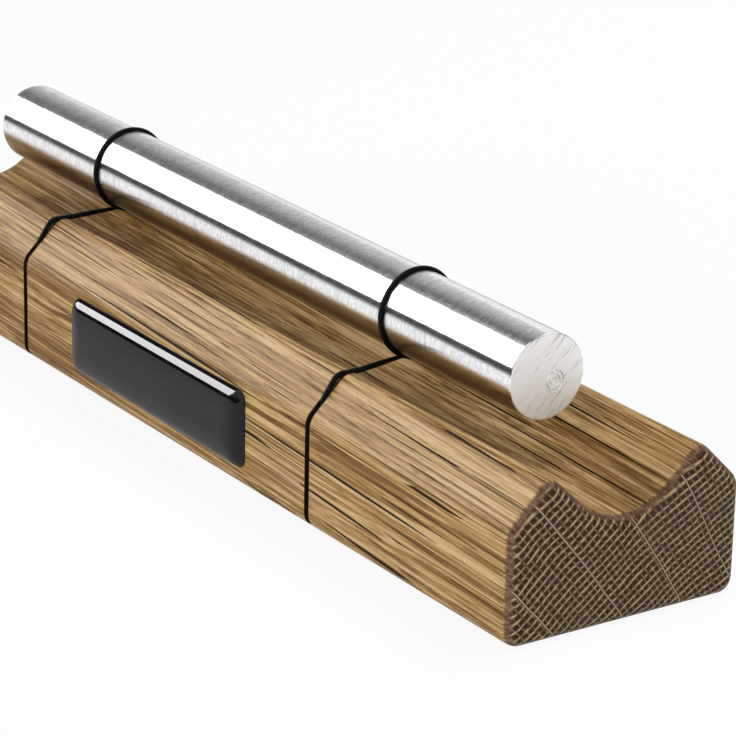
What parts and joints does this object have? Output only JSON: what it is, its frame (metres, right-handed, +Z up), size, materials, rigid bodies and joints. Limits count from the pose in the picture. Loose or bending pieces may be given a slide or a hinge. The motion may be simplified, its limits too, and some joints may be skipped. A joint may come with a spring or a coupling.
{
  "type": "chime bar",
  "caption": "Oak block with a groove, over which a tuned aluminium rod hangs in black elastic cords that run round the block in saw kerfs; domed label on the front.",
  "frame": {"origin": "middle of the block's flat base, on the surface that it rests on", "axes": "+X along the rod to the right as the label is read, +Y from the label side to the back, +Z up"},
  "size_m": [0.217, 0.0482, 0.0434],
  "materials": {
    "oiled_oak": "planed, rounded edges, thin oil",
    "turned_aluminium": "fine turned, bright satin, sawn ends",
    "elastic_cord": "matt black",
    "label_foil": "printed black, bare",
    "label_resin": "clear poured resin over black"
  },
  "bodies": {
    "block": {"oak_block": "oiled_oak", "label_backing": "label_foil", "label_dome": "label_resin"},
    "suspension": {"right_cord": "elastic_cord", "left_cord": "elastic_cord"},
    "bar": {"chime_bar": "turned_aluminium"}
  },
  "joints": [
    {"name": "bar_bounce", "type": "slide", "parent": "block", "child": "suspension", "axis": [0, 0, 1], "range_m": [-0.0073, 0.006], "stiffness_N_per_m": 1600, "springref_m": 0.00051, "deforming": ["right_cord", "left_cord"]},
    {"name": "bar_spin", "type": "hinge", "parent": "suspension", "child": "bar", "pos_m": [0, 0, 0.03476], "axis": [1, 0, 0], "continuous": true}
  ]
}
